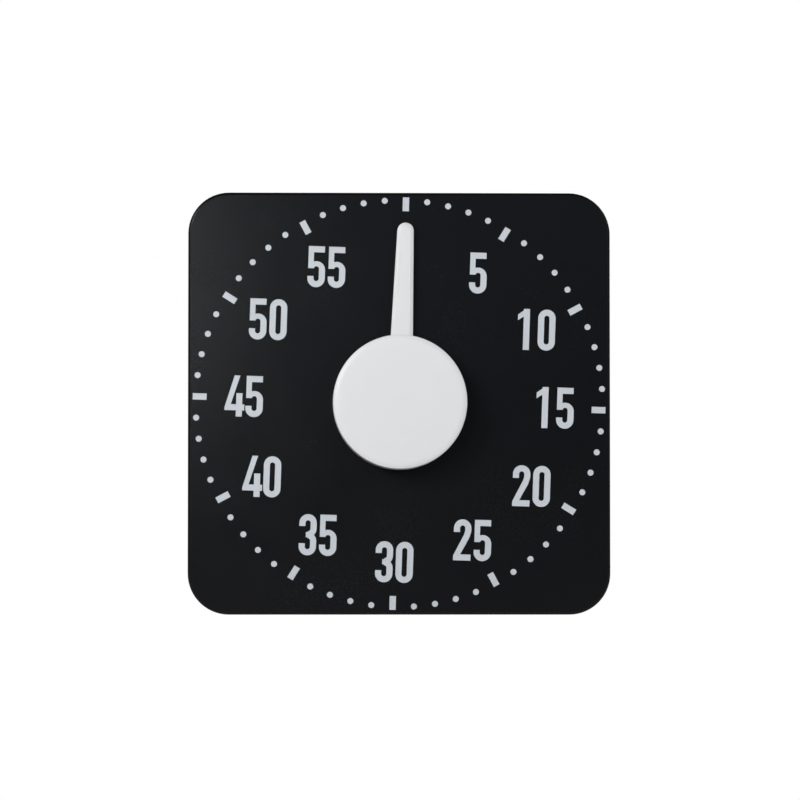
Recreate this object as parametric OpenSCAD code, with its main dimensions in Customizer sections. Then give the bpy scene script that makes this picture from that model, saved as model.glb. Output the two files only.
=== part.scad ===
// Countdown timer: a square case, a round knob with a pointer, and the clockwork behind the dial.
// Millimetres. +Z is up, the dial faces -Y, and the origin is under the middle of the case.
// Sub-parts are drawn in the dial's frame: X right and Y up as seen from the front, Z towards
// the viewer, with 0 at the middle of the dial. face_frame() stands them up.

/* [Case] */
// Width and height of the case
case_side = 180; // [170:1:220]
// Depth of the case's front half
front_depth = 24; // [20:0.5:28]
// Free depth between the movement and the stand's pocket
back_room = 2.8; // [2:0.1:14]
// Corner radius seen from the front
corner_r = 17.5; // [14:0.5:26]
// Rounding of the outer edges
edge_r = 1.2; // [0.6:0.1:2]
// Wall thickness
wall = 2.4; // [2:0.1:3]
// Diameter of the magnets in the back
magnet_d = 18; // [12:0.5:20]
// Thickness of the magnets
magnet_h = 3; // [2:0.1:4]

/* [Dial] */
// Clockwise turn of the print against the case, degrees
print_turn = 1.9; // [0:0.1:3]
// Bare rim between the minute marks and the edge of the case
mark_margin = 2; // [1.5:0.1:12]
// Diameter of a minute dot
dot_d = 2.55; // [1.5:0.05:4]
// Width of a five-minute bar
bar_w = 2.7; // [1.5:0.1:4]
// Length of a five-minute bar
bar_l = 5.9; // [4:0.1:9]
// Gap between the five-minute bars and the numbers
number_gap = 7; // [5:0.1:12]
// Height of the numbers
number_h = 17.5; // [12:0.1:20]
// Width of one digit
digit_w = 7.4; // [6:0.1:9]
// Gap between the two digits of a number
digit_gap = 1.25; // [0.8:0.05:2]
// Stroke of the digits
stroke = 2.6; // [1.5:0.05:3]
// Thickness of the printed ink
ink_h = 0.15; // [0.1:0.01:0.3]

/* [Knob and pointer] */
// Diameter of the knob
knob_d = 56.8; // [50:0.1:66]
// Height of the knob's top above the dial
knob_top = 17; // [15:0.5:24]
// Width of the sloping rim round the knob's top
knob_rim_w = 2.4; // [1.5:0.1:3.5]
// Radius of that rim's section
knob_rim_r = 4.8; // [4:0.1:9]
// Rounding of the knob's outer edge
knob_edge_r = 0.4; // [0.2:0.05:1]
// Gap between dial and knob
knob_gap = 1; // [0.6:0.1:2]
// Gap between the pointer's tip and the five-minute bars
pointer_gap = 5.2; // [3:0.1:20]
// Width of the pointer at its tip
pointer_tip_w = 7; // [5:0.1:9]
// Width of the pointer at the knob
pointer_root_w = 9.7; // [8:0.1:12]
// Thickness of the pointer
pointer_h = 4; // [3:0.1:4.4]
// Width of the bevel along the pointer's edges
pointer_bevel_w = 1.4; // [0.8:0.1:2]
// Height of that bevel
pointer_bevel_h = 0.6; // [0.4:0.1:2]
// Clockwise turn of the pointer at rest against the case, degrees
pointer_turn = 2; // [0:0.1:3]

/* [Stand] */
// Width of the folding leg
leg_w = 48; // [36:1:60]
// Height of the folded leg's foot above the table
leg_foot_h = 6; // [5:0.5:20]
// Thickness of the leg
leg_t = 4; // [3.4:0.1:4.4]
// Height of the leg's pin above the table
leg_pin_h = 106; // [104:1:112]
// How far the leg opens, degrees
leg_open = 35; // [25:1:40]
// Diameter of the leg's pin
leg_pin_d = 2; // [1.6:0.1:2.2]

/* [Clockwork] */
// Teeth of the great wheel
great_teeth = 72; // [66:1:74]
// Teeth of the second and third wheels
train_teeth = 64; // [58:1:66]
// Module of the great wheel's teeth
great_module = 0.7; // [0.66:0.01:0.72]
// Module of the second wheel's teeth
second_module = 0.6; // [0.56:0.01:0.62]
// Module of the third wheel's teeth
third_module = 0.5; // [0.46:0.01:0.52]
// Tip radius of the escape wheel
escape_r = 7; // [6:0.1:7.4]
// Radius of the balance wheel
balance_r = 10; // [8:0.1:10.4]
// Height of the mainspring's strip
mainspring_h = 4.4; // [3.8:0.1:6]
// Thickness of the plates
plate_t = 1.2; // [1:0.1:1.4]
// Radius of the bell
bell_r = 22; // [18:0.5:23]

/* [Hidden] */
$fn = 96;
// leaves of every pinion, and teeth of the escape wheel
leaves = 8;
escape_teeth = 15;

// fits, each on the radius
press_fit = 0;
running_fit = 0.05;
screw_gap = 0.2;
slide_gap = 0.15;
part_gap = 0.3;
shake = 0.1;
// how far the pieces of one solid run into each other
bite = 0.5;
// how far a cut runs out past the face it opens
cut = 1;

// levels behind the front plate, each measured to the front of its piece
great_level = 1;
great_t = 1.6;
ratchet_level = 2.9;
ratchet_t = 1.2;
escape_level = 3.9;
second_level = 5;
spring_level = 6.8;
spring_room = 0.8;
third_level = 8;
hammer_level = 9;
wheel_t = 1;
wheel_rim_t = 2;
spoke_w = 1.8;
pinion_l = 2.4;

// movement, in depth order behind the dial
front_room = 6.6;
front_plate_z = -wall - front_room;
gap_front_z = front_plate_z - plate_t;
gap_back_z = gap_front_z - spring_level - mainspring_h - spring_room;
back_plate_z = gap_back_z - plate_t;
pillar_end = 2.2;

// stand, in depth order from the back
leg_inset = 0.6;
leg_floor = 3.2;
pocket_t = 1.8;

// case
case_depth = leg_inset + leg_t / 2 + leg_floor + pocket_t + back_room + pillar_end - back_plate_z;
half_side = case_side / 2;
depth_all = case_depth + knob_top;
front_y = knob_top - depth_all / 2;
inner_side = case_side - 2 * wall;
inner_r = corner_r - wall;
lip_h = 3;
lip_t = 1.2;
seam = 0.4;
screw_out = 3.5;
screw_at = half_side - corner_r + screw_out;
screw_boss_r = 4;
screw_r = 1.5;
screw_head_r = 2.8;
screw_head_h = 2;
screw_seat = 5;
screw_grip = 12;
magnet_in = 12.5;
magnet_at = screw_at - magnet_in;
magnet_cup = 1.6;
magnet_floor = 1.2;
magnet_sink = 0.1;
magnet_top = -case_depth + magnet_sink + magnet_h;
slot_w = 2.4;
slot_l = 26;
slot_pitch = 5.2;
slot_r = 1.1;

// print on the dial
dot_ring_r = half_side - mark_margin - dot_d / 2;
bar_foot_r = dot_ring_r + dot_d / 2 - bar_l;
number_ring_r = bar_foot_r - number_gap - number_h / 2;
digit_pitch = digit_w + digit_gap;
// how far each number, 5 first, is printed to the right of its place on the ring and above it
number_off = [[-1.4, -0.75], [0, 0.2], [0.1, 0.3], [0, -0.2], [-0.1, 0.2], [0.1, -1.3],
              [0.4, 0.2], [0.1, 0], [0.25, 0.75], [0.4, 0.7], [0.25, -0.4]];

// leg of the stand
leg_l = leg_pin_h - leg_foot_h;
leg_pin_y = leg_pin_h - half_side;
leg_pin_z = -case_depth + leg_inset + leg_t / 2;
// the leg's top edge meets the floor of its pocket just past the open position
leg_stop = leg_open + 1.5;
leg_heel = (leg_floor - leg_t / 2 * cos(leg_stop)) / sin(leg_stop);
leg_gap = 0.8;
leg_foot_r = 8;
finger_r = 7;
groove_w = 3;
groove_pitch = 7;
groove_sink = 1;
pocket_w = leg_w + 2 * leg_gap;
pocket_top = leg_pin_y + leg_heel + 2 * leg_gap;
pocket_foot = leg_pin_y - leg_l - leg_gap;
pocket_z = leg_pin_z + leg_floor;
pin_block = 6;

// knob
shaft_r = 2.5;
shaft_flat = 1.9;
shaft_top = knob_top - 5;
insert_r = 4.5;
insert_top = shaft_top + 0.4;
hub_r = 7;
knob_skirt = 2.2;
knob_crown = 2.4;
rib_t = 1.4;
pointer_reach = bar_foot_r - pointer_gap;
pointer_top = knob_gap + pointer_h;
pointer_hub_r = 12;
rib_foot = pointer_top + 3;

// plates and pillars
plate_w = 80;
plate_h = 84;
plate_at = [-7, 8];
plate_margin = 8;
plate_r = 4;
pillar_r = 2.4;
nut_r = 2.6;
nut_h = 1.6;
stud_r = 1.2;
small_head_r = 2.6;
small_head_h = 1.8;
mount_boss_r = 3.6;
mount_screw_l = 6;
bush_flange = 0.8;
pivot_r = 0.6;
staff_pivot_r = 0.4;
peg_r = 0.8;
arbor_r = 1.2;
mainspring_t = 0.4;

// arbor places
second_at = polar((great_teeth + leaves) * great_module / 2, 150);
third_at = second_at + polar((train_teeth + leaves) * second_module / 2, 60);
escape_at = third_at + polar((train_teeth + leaves) * third_module / 2, -10);
pallet_turn = 30;
staff_turn = -5;
staff_reach = escape_r / cos(pallet_turn);
staff_at = escape_at + polar(staff_reach, staff_turn);
pallet_pin_r = 0.3;
pallet_gap = 0.06;
anchor_t = 0.8;
anchor_w = 1.1;
// how far in front of the escape wheel the anchor lies
anchor_lift = 1.2;
escape_tooth_h = 1.6;
escape_rim_t = 1;
escape_hub_r = 2.2;
escape_spoke_w = 1;
hammer_at = [27, -16];
hammer_turn = -70;
hammer_l = 26;
hammer_t = 1.4;
hammer_w = 2;
hammer_eye_r = 2.6;
hammer_head_r = 3;
hammer_head_l = 6;
head_boss_r = 2;
head_peg_r = 1;
hammer_tail_w = 2;
hammer_tail_eye_r = 2.4;
hammer_spring_at = hammer_at + polar(13, hammer_turn - 55);
// how far along the arm the spring touches it
hammer_spring_reach = 16;
hammer_spring_h = 1;
hammer_spring_t = 0.25;
hammer_spring_foot_r = 0.9;
head_at = hammer_at + polar(hammer_l, hammer_turn);
head_gap = 0.6;
bell_at = head_at + polar(hammer_head_r + head_gap + bell_r, hammer_turn + 90);
bell_h = 13;
bell_t = 1;
bell_bend = 5;
bell_rim_z = -13;
bell_crown_z = bell_rim_z - bell_h;
bell_post_r = 3;
bell_boss_r = 4.5;
bell_boss_z = -8;
bell_screw_l = 8;
bell_peg_l = 3.8;
pillar_inset = 4;
// the pillar beside the bell stands further in than the plate's corner
pillar_shift = [-13, -1];
pillars_at = [for (x = [-1, 1], y = [-1, 1])
    plate_at + [x * (plate_w / 2 - pillar_inset), y * (plate_h / 2 - pillar_inset)]
    + (x > 0 && y < 0 ? pillar_shift : [0, 0])];
mounts_at = [for (x = [-1, 1], y = [-1, 1])
    plate_at + [x * (plate_w / 2 + plate_margin / 2), y * (plate_h / 2 + plate_margin / 2)]];

// in front of the plates
cam_r = 12;
cam_t = 1.2;
cam_z = front_plate_z + 1.6;
notch_d = 1;
notch_w = 6.4;
stop_t = 1;
stop_z = cam_z + cam_t + 1.2;
stop_reach = 19;
stop_pin_at = 18;
stop_pin_r = 0.5;
stop_w = 1;
stop_root_w = 6;
stop_side = -4;
balance_t = 1.2;
balance_rim_t = 1.4;
balance_hub_r = 2;
balance_spoke_w = 1.2;
balance_z = front_plate_z + 2;
hairspring_z = front_plate_z + 0.8;
hairspring_h = 0.6;
hairspring_t = 0.16;
hairspring_r = 6.4;
stud_pin_r = 0.6;
cock_z = front_plate_z + 4.4;
cock_t = 1;
cock_reach = balance_r + 4.6;
cock_turn = atan2(staff_at[1], staff_at[0]);
cock_foot_at = staff_at + polar(cock_reach, cock_turn);
// the mainspring stays clear of the third wheel, which turns at its level
third_tip_r = (train_teeth / 2 + 1) * third_module;
mainspring_r = norm(third_at) - third_tip_r - 0.9;
spring_post_r = 1.2;
spring_post_at = polar(mainspring_r + spring_post_r, -100);
main_pivot_r = 1.2;
barrel_r = 4;
seat_r = 3.5;
journal_r = 3;
collar_r = journal_r + 2;
staff_r = 0.9;
collet_r = 1.45;
ratchet_r = 8;
ratchet_root = 6.8;
ratchet_teeth = 16;
click_at = polar(13.2, 40);
click_eye_r = 2;
click_pin_r = 0.9;
click_spring_at = click_at + polar(4.2, 28);
click_spring_tip = click_at + polar(6.7, -97.2);
click_spring_foot_r = 0.9;
great_hub_r = norm(click_spring_at) + click_spring_foot_r + part_gap;

// ---- shared shapes ----

function polar(r, turn) = [r * cos(turn), r * sin(turn)];

// Stands a sub-part drawn in the dial's frame up in the part's frame.
module face_frame()
    translate([0, front_y, half_side]) rotate([90, 0, 0]) children();

module at(place)
    translate([place[0], place[1], 0]) children();

// A flat piece between the plates, at a depth behind the front plate.
module at_level(level, thick)
    translate([0, 0, gap_front_z - level - thick]) linear_extrude(thick) children();

// A flat piece with its back at a height.
module slab(z, thick)
    translate([0, 0, z]) linear_extrude(thick) children();

module rod(z_low, z_high, r)
    translate([0, 0, z_low]) cylinder(h = z_high - z_low, r = r);

module rounded_box(w, h, r) {
    square([w - 2 * r, h], center = true);
    square([w, h - 2 * r], center = true);
    for (x = [-1, 1], y = [-1, 1])
        translate([x * (w / 2 - r), y * (h / 2 - r)]) circle(r);
}

// A straight strip from one point to another.
module strip(from, to, w) {
    run = to - from;
    translate(from) rotate(atan2(run[1], run[0]))
        translate([0, -w / 2]) square([norm(run), w]);
}

module at_corners(distance)
    for (x = [-1, 1], y = [-1, 1]) translate([x * distance, y * distance, 0]) children();

// Pan-head screw standing on z = 0, with its head below.
module screw(shank_r, shank_l, head_r, head_h) {
    cylinder(h = shank_l, r = shank_r);
    translate([0, 0, -head_h]) difference() {
        cylinder(h = head_h, r = head_r);
        for (turn = [0, 90]) rotate(turn)
            translate([-head_r * 0.55, -head_r * 0.12, -1]) cube([head_r * 1.1, head_r * 0.24, 1.8]);
    }
}

// ---- case ----

// Section of the case from a corner's axis outwards, with the rounded edge at the top.
module edge_section(depth) {
    translate([0, -depth]) square([corner_r, depth - edge_r]);
    translate([0, -depth]) square([corner_r - edge_r, depth]);
    translate([corner_r - edge_r, -edge_r]) circle(edge_r);
}

// Block with rounded corners below z = 0, and its top edge rounded.
module case_block(depth) {
    straight = case_side - 2 * corner_r;
    for (turn = [0 : 90 : 270]) rotate(turn) translate([straight / 2, straight / 2, 0]) {
        rotate_extrude(angle = 90) edge_section(depth);
        rotate([90, 0, 0]) linear_extrude(straight) edge_section(depth);
    }
    translate([-straight / 2, -straight / 2, -depth]) cube([straight, straight, depth]);
}

module case_hollow(low, high)
    slab(low, high - low) rounded_box(inner_side, inner_side, inner_r);

// Groove round the outside of the front half where the rear half meets it.
module seam_groove()
    slab(-front_depth - cut, cut + seam) difference() {
        square(case_side + 2 * cut, center = true);
        rounded_box(case_side - 2 * seam, case_side - 2 * seam, corner_r - seam);
    }

module front_case()
    color([0.11, 0.11, 0.12]) difference() {
        union() {
            difference() {
                case_block(front_depth);
                case_hollow(-front_depth - 1, -wall);
            }
            at_corners(screw_at) rod(-front_depth + shake, -wall + bite, screw_boss_r);
            for (place = mounts_at) at(place) rod(front_plate_z, -wall + bite, mount_boss_r);
            at(bell_at) rod(bell_boss_z, -wall + bite, bell_boss_r);
        }
        seam_groove();
        rod(-wall - cut, cut, journal_r + 1);
        at_corners(screw_at) rod(-front_depth - cut, -front_depth + screw_grip + 2, screw_r);
        for (place = mounts_at) at(place)
            rod(front_plate_z - cut, front_plate_z + mount_screw_l - 1, stud_r);
        at(bell_at) rod(bell_boss_z - cut, bell_boss_z + bell_peg_l + 2 * shake, screw_r);
    }

// Ring that centres the halves: a ledge on the rear wall and a lip inside the front wall.
module case_lip() {
    lip_side = inner_side - 2 * slide_gap;
    difference() {
        union() {
            slab(-front_depth - lip_h, lip_h)
                rounded_box(inner_side + wall, inner_side + wall, inner_r + wall / 2);
            slab(-front_depth - 1, lip_h + 1)
                rounded_box(lip_side, lip_side, inner_r - slide_gap);
        }
        slab(-front_depth - lip_h - 1, 2 * lip_h + 2)
            rounded_box(lip_side - 2 * lip_t, lip_side - 2 * lip_t, inner_r - slide_gap - lip_t);
    }
}

module pocket_outline(grow)
    translate([-pocket_w / 2 - grow, pocket_foot - grow])
        square([pocket_w + 2 * grow, pocket_top - pocket_foot + 2 * grow]);

// Blocks beside the leg's pocket that hold the ends of its pin.
module pin_blocks()
    for (side = [-1, 1])
        translate([side * (pocket_w / 2 + pin_block / 2), leg_pin_y, (pocket_z - case_depth + bite) / 2])
            cube([pin_block, pin_block, pocket_z + case_depth - bite], center = true);

module sound_slots()
    for (i = [-3 : 3]) at(bell_at + [i * slot_pitch, 0])
        slab(-case_depth - cut, wall + 2 * cut) rounded_box(slot_w, slot_l, slot_r);

module rear_case()
    color([0.11, 0.11, 0.12]) difference() {
        union() {
            difference() {
                translate([0, 0, -case_depth]) mirror([0, 0, 1]) case_block(case_depth - front_depth);
                case_hollow(-case_depth + wall, -front_depth + cut);
            }
            case_lip();
            at_corners(screw_at) rod(-case_depth + bite, -front_depth, screw_boss_r);
            at_corners(magnet_at)
                rod(-case_depth + bite, magnet_top + magnet_floor, magnet_d / 2 + magnet_cup);
            slab(-case_depth + bite, pocket_z + case_depth - bite + pocket_t) pocket_outline(pocket_t);
            pin_blocks();
        }
        slab(-case_depth - cut, pocket_z + case_depth + cut) pocket_outline(0);
        at_corners(screw_at) {
            rod(-case_depth - cut, -front_depth + cut, screw_r + screw_gap);
            rod(-case_depth - cut, -case_depth + screw_seat, screw_head_r + screw_gap);
        }
        at_corners(magnet_at) rod(-case_depth - cut, magnet_top, magnet_d / 2 + running_fit);
        sound_slots();
        translate([-pocket_w / 2 - pin_block, leg_pin_y, leg_pin_z]) rotate([0, 90, 0])
            cylinder(h = pocket_w + 2 * pin_block, r = leg_pin_d / 2);
    }

module case_screws()
    color([0.62, 0.63, 0.65]) at_corners(screw_at)
        translate([0, 0, -case_depth + screw_seat])
            screw(screw_r, case_depth - screw_seat - front_depth + screw_grip, screw_head_r, screw_head_h);

module magnets()
    color([0.2, 0.2, 0.21]) at_corners(magnet_at)
        translate([0, 0, -case_depth + magnet_sink]) cylinder(h = magnet_h, r = magnet_d / 2);

// ---- stand ----

module leg_outline() {
    foot = leg_pin_y - leg_l;
    difference() {
        union() {
            translate([-leg_w / 2, foot + leg_foot_r])
                square([leg_w, leg_l + leg_heel - leg_foot_r]);
            translate([-leg_w / 2 + leg_foot_r, foot])
                square([leg_w - 2 * leg_foot_r, leg_foot_r + 1]);
            for (side = [-1, 1])
                translate([side * (leg_w / 2 - leg_foot_r), foot + leg_foot_r]) circle(leg_foot_r);
        }
        translate([0, foot]) circle(finger_r);
    }
}

module stand_leg()
    color([0.11, 0.11, 0.12]) difference() {
        slab(-case_depth + leg_inset, leg_t) leg_outline();
        for (i = [-2 : 2]) translate([i * groove_pitch, leg_pin_y - leg_l * 0.45, -case_depth])
            slab(leg_inset - cut, cut + groove_sink)
                rounded_box(groove_w, leg_l * 0.6, groove_w / 2 - 0.1);
        translate([-leg_w / 2 - 1, leg_pin_y, leg_pin_z]) rotate([0, 90, 0])
            cylinder(h = leg_w + 2, r = leg_pin_d / 2 + running_fit);
    }

module stand_pin()
    color([0.7, 0.71, 0.73])
        translate([-pocket_w / 2 - pin_block + 0.5, leg_pin_y, leg_pin_z]) rotate([0, 90, 0])
            cylinder(h = pocket_w + 2 * pin_block - 1, r = leg_pin_d / 2);

// ---- dial print ----

module minute_marks()
    color([0.77, 0.79, 0.82]) rotate(-print_turn) for (minute = [0 : 59]) rotate(-6 * minute)
        if (minute % 5 == 0)
            slab(0, ink_h) translate([0, dot_ring_r + dot_d / 2 - bar_l / 2])
                square([bar_w, bar_l], center = true);
        else
            translate([0, dot_ring_r, 0]) cylinder(h = ink_h, d = dot_d);

module stadium(w, h) {
    square([w, h - w], center = true);
    for (side = [-1, 1]) translate([0, side * (h - w) / 2]) circle(w / 2);
}

// Closed loop of one stroke, whose top may be thinner than the rest.
module bowl(h, top = stroke)
    difference() {
        stadium(digit_w, h);
        translate([0, (stroke - top) / 2]) stadium(digit_w - 2 * stroke, h - stroke - top);
    }

module digit_0() bowl(number_h);

module digit_1() {
    x = -digit_w * 0.17;
    tip = x - digit_w * 0.33;
    top = number_h / 2;
    translate([x, -top]) square([stroke, number_h]);
    polygon([[x + digit_w * 0.12, top], [tip, top - number_h * 0.14],
             [tip, top - number_h * 0.28], [x + 0.1, top - number_h * 0.185]]);
}

module digit_2() {
    side = digit_w / 2;
    top = number_h / 2;
    neck = top - side - 1.2;
    difference() {
        bowl(number_h);
        translate([-side - 1, -top - 1]) square([side + 1, top + 1 + top - number_h * 0.31]);
        translate([-1, -top - 1]) square([digit_w, top + 1 + neck]);
    }
    polygon([[side, neck], [side - stroke, neck], [digit_w * 0.09, number_h * 0.13],
             [-side, -top + number_h * 0.115], [-side, -top], [side, -top], [side, -top + stroke],
             [-digit_w * 0.1, -top + stroke], [digit_w * 0.38, number_h * 0.04],
             [side - 0.25, neck - 1.2]]);
}

module digit_3() {
    side = digit_w / 2;
    open = number_h * 0.21;
    waist = stroke * 0.85;
    bowl_h = (number_h + waist) / 2;
    difference() {
        for (end = [-1, 1]) translate([0, end * (number_h - bowl_h) / 2]) bowl(bowl_h);
        translate([-side - 1, -open]) square([side + 1 - digit_w * 0.11, 2 * open]);
        for (end = [0, 1]) mirror([0, end]) translate([-side, waist / 2])
            square([side, open - waist / 2]);
    }
}

module digit_4() {
    top = number_h / 2;
    side = digit_w / 2;
    bar_y = -top + number_h * 0.15;
    left = -side - 0.2;
    translate([digit_w * 0.13, -top]) square([stroke, number_h * 0.57]);
    polygon([[0, top], [stroke * 0.92, top], [left + stroke, bar_y + stroke],
             [side + 0.8, bar_y + stroke], [side + 0.8, bar_y], [left, bar_y],
             [left, bar_y + stroke * 0.5]]);
}

module digit_5() {
    side = digit_w / 2;
    top = number_h / 2;
    bowl_h = number_h * 0.635;
    stem_end = top - number_h * 0.54;
    difference() {
        translate([0, -top + bowl_h / 2]) bowl(bowl_h, stroke * 0.84);
        translate([-side - 1, -top + number_h * 0.27]) square([side + 1, stem_end + top - number_h * 0.27]);
        translate([-side - 1, stem_end - 0.1]) square([1.4, bowl_h]);
    }
    translate([-side + 0.2, stem_end]) square([stroke * 0.88, top - stem_end]);
    translate([-side + 0.2, top - stroke]) square([digit_w - 0.5, stroke]);
}

module digit(value) {
    if (value == 0) digit_0();
    if (value == 1) digit_1();
    if (value == 2) digit_2();
    if (value == 3) digit_3();
    if (value == 4) digit_4();
    if (value == 5) digit_5();
}

module numbers()
    color([0.77, 0.79, 0.82]) rotate(-print_turn) for (i = [1 : 11]) {
        tens = floor(i * 5 / 10);
        place = polar(number_ring_r, 90 - 30 * i) + number_off[i - 1];
        slab(0, ink_h) translate(place)
            if (tens == 0) digit(5);
            else {
                translate([-digit_pitch / 2, 0]) digit(tens);
                translate([digit_pitch / 2, 0]) digit(i * 5 - tens * 10);
            }
    }

// ---- knob and pointer ----

// Round shaft with one flat, grown by a fit.
module shaft_section(fit)
    intersection() {
        circle(shaft_r + fit);
        translate([-shaft_r - 1, -shaft_r - 1]) square([2 * shaft_r + 2, shaft_r + 1 + shaft_flat + fit]);
    }

// Section of the knob from its axis outwards: flat top, sloping rim and a fine outer edge.
// The edge's circle touches the rim's circle from inside where the two join.
module knob_section() {
    r = knob_d / 2;
    rim_at = [r - knob_rim_w, knob_top - knob_rim_r];
    edge_in = knob_rim_r - knob_edge_r;
    edge_at = [r - knob_edge_r,
               rim_at[1] + sqrt(edge_in * edge_in - pow(knob_rim_w - knob_edge_r, 2))];
    join = rim_at + (edge_at - rim_at) * knob_rim_r / edge_in;
    translate([0, knob_gap]) square([r, edge_at[1] - knob_gap]);
    translate(edge_at) circle(knob_edge_r);
    translate([0, knob_gap]) square([rim_at[0], knob_top - knob_gap]);
    intersection() {
        translate(rim_at) circle(knob_rim_r);
        square([join[0], knob_top]);
    }
}

module knob_shell()
    rotate_extrude() difference() {
        knob_section();
        square([knob_d / 2 - knob_skirt, knob_top - knob_crown]);
    }

module knob_cap()
    color([0.87, 0.87, 0.88]) rotate(-pointer_turn) difference() {
        union() {
            knob_shell();
            rod(pointer_top + shake, knob_top - bite, hub_r);
            for (i = [0 : 5]) rotate(i * 60 + 30)
                translate([hub_r - bite, -rib_t / 2, rib_foot])
                    cube([knob_d / 2 - hub_r - knob_skirt + 2 * bite, rib_t,
                          knob_top - knob_crown - rib_foot + bite]);
        }
        rod(0, insert_top + 2 * shake, insert_r);
        translate([-pointer_root_w / 2 - slide_gap, knob_d / 2 - 2 * knob_skirt, 0])
            cube([pointer_root_w + 2 * slide_gap, 3 * knob_skirt, pointer_top + shake]);
    }

module knob_insert()
    color([0.8, 0.66, 0.36]) rotate(-pointer_turn)
        slab(knob_gap, insert_top - knob_gap) difference() {
            circle(insert_r);
            shaft_section(press_fit);
        }

// Round end of the pointer's blade, bevelled at its top.
module blade_end(w) {
    cylinder(h = pointer_h - pointer_bevel_h, r = w / 2);
    translate([0, 0, pointer_h - pointer_bevel_h])
        cylinder(h = pointer_bevel_h, r1 = w / 2, r2 = w / 2 - pointer_bevel_w);
}

module pointer()
    color([0.87, 0.87, 0.88]) rotate(-pointer_turn) translate([0, 0, knob_gap]) difference() {
        union() {
            cylinder(h = pointer_h, r = pointer_hub_r);
            hull() {
                translate([0, pointer_reach - pointer_tip_w / 2, 0]) blade_end(pointer_tip_w);
                translate([0, (knob_d - pointer_root_w) / 2, 0]) blade_end(pointer_root_w);
            }
            translate([-pointer_root_w / 2 + pointer_bevel_w, 0, 0])
                cube([pointer_root_w - 2 * pointer_bevel_w, knob_d / 2 - 2, pointer_h]);
        }
        translate([0, 0, -1]) cylinder(h = pointer_h + 2, r = insert_r + running_fit);
    }

// ---- plates and what is fixed to them ----

module pivot_holes(r) {
    for (place = [second_at, third_at, escape_at]) translate(place) circle(r);
}

module plate_outline(grow)
    translate(plate_at) rounded_box(plate_w + 2 * grow, plate_h + 2 * grow, plate_r);

module front_plate()
    color([0.72, 0.73, 0.74]) slab(gap_front_z, plate_t) difference() {
        plate_outline(plate_margin);
        pivot_holes(pivot_r + running_fit);
        circle(insert_r);
        translate(staff_at) circle(2);
        translate(hammer_at) circle(arbor_r + running_fit);
        for (place = pillars_at) translate(place) circle(stud_r);
        for (place = mounts_at) translate(place) circle(stud_r + screw_gap);
    }

module back_plate()
    color([0.72, 0.73, 0.74]) slab(back_plate_z, plate_t) difference() {
        plate_outline(0);
        pivot_holes(pivot_r + running_fit);
        circle(main_pivot_r + running_fit);
        translate(staff_at) circle(staff_pivot_r + running_fit);
        translate(hammer_at) circle(pivot_r + running_fit);
        for (place = pillars_at) translate(place) circle(stud_r);
        translate(spring_post_at) circle(peg_r);
        translate(hammer_spring_at) circle(peg_r);
    }

module plate_pillars()
    color([0.8, 0.66, 0.36]) for (place = pillars_at) at(place) {
        rod(gap_back_z, gap_front_z, pillar_r);
        rod(back_plate_z - pillar_end, front_plate_z, stud_r);
    }

module pillar_nuts()
    color([0.62, 0.63, 0.65]) for (place = pillars_at) at(place)
        slab(back_plate_z - nut_h, nut_h) difference() {
            circle(nut_r, $fn = 6);
            circle(stud_r);
        }

module mount_screws()
    color([0.62, 0.63, 0.65]) for (place = mounts_at) at(place)
        translate([0, 0, gap_front_z]) screw(stud_r, mount_screw_l, small_head_r, small_head_h);

// Flanged bush for the main arbor in the front plate.
module arbor_bush()
    color([0.8, 0.66, 0.36]) difference() {
        union() {
            rod(gap_front_z - bite, front_plate_z, insert_r);
            rod(front_plate_z, front_plate_z + bush_flange, insert_r + 1.5);
        }
        rod(gap_front_z - cut, front_plate_z + cut, journal_r + running_fit);
    }

module spring_post()
    color([0.62, 0.63, 0.65]) at(spring_post_at) {
        rod(gap_back_z, gap_front_z - spring_level + shake, spring_post_r);
        rod(back_plate_z, gap_back_z, peg_r);
    }

module stop_pin()
    color([0.62, 0.63, 0.65]) at(polar(stop_pin_at, 90 - stop_side))
        rod(front_plate_z, stop_z + stop_t + part_gap, stop_pin_r);

// ---- main arbor ----

module main_arbor()
    color([0.62, 0.63, 0.65]) {
        rod(back_plate_z - 1, gap_back_z + bite, main_pivot_r);
        rod(gap_back_z + shake, gap_front_z - spring_level + 0.3, barrel_r);
        rod(gap_front_z - spring_level, gap_front_z - great_level, seat_r);
        rod(gap_front_z - great_level - bite, -wall - 0.2, journal_r);
        rotate(-pointer_turn) slab(-wall - bite, shaft_top + wall + bite) shaft_section(press_fit);
    }

// Round cam with one notch that frees the hammer's tail at zero.
module cam()
    color([0.8, 0.66, 0.36]) difference() {
        union() {
            slab(cam_z, cam_t) circle(cam_r);
            rod(front_plate_z + bush_flange + shake, stop_z, collar_r);
        }
        rod(front_plate_z, stop_z + cut, journal_r);
        rotate(atan2(hammer_at[1], hammer_at[0])) translate([cam_r - notch_d, -notch_w / 2, cam_z - cut])
            cube([2 * notch_d, notch_w, cam_t + 2 * cut]);
    }

module stop_arm()
    color([0.62, 0.63, 0.65]) slab(stop_z, stop_t) difference() {
        union() {
            circle(collar_r);
            translate([-stop_w / 2, 0]) square([stop_w, stop_reach]);
            polygon([[-stop_root_w / 2, 0], [stop_root_w / 2, 0],
                     [stop_w / 2, stop_reach / 2], [-stop_w / 2, stop_reach / 2]]);
        }
        circle(journal_r);
    }

// ---- wheels ----

// A wheel tooth's point follows the curve that a circle of half the pinion's pitch radius
// traces as it rolls on the wheel's pitch circle: the radius reached after rolling an angle.
function point_r(pitch_r, roller, roll) =
    sqrt(pow(pitch_r + roller, 2) + roller * roller - 2 * roller * (pitch_r + roller) * cos(roll));

// The angle about the wheel by which that curve has left the tooth's flank.
function point_turn(pitch_r, roller, roll) =
    roll * roller / pitch_r - atan2(roller * sin(roll), pitch_r + roller - roller * cos(roll));

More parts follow.
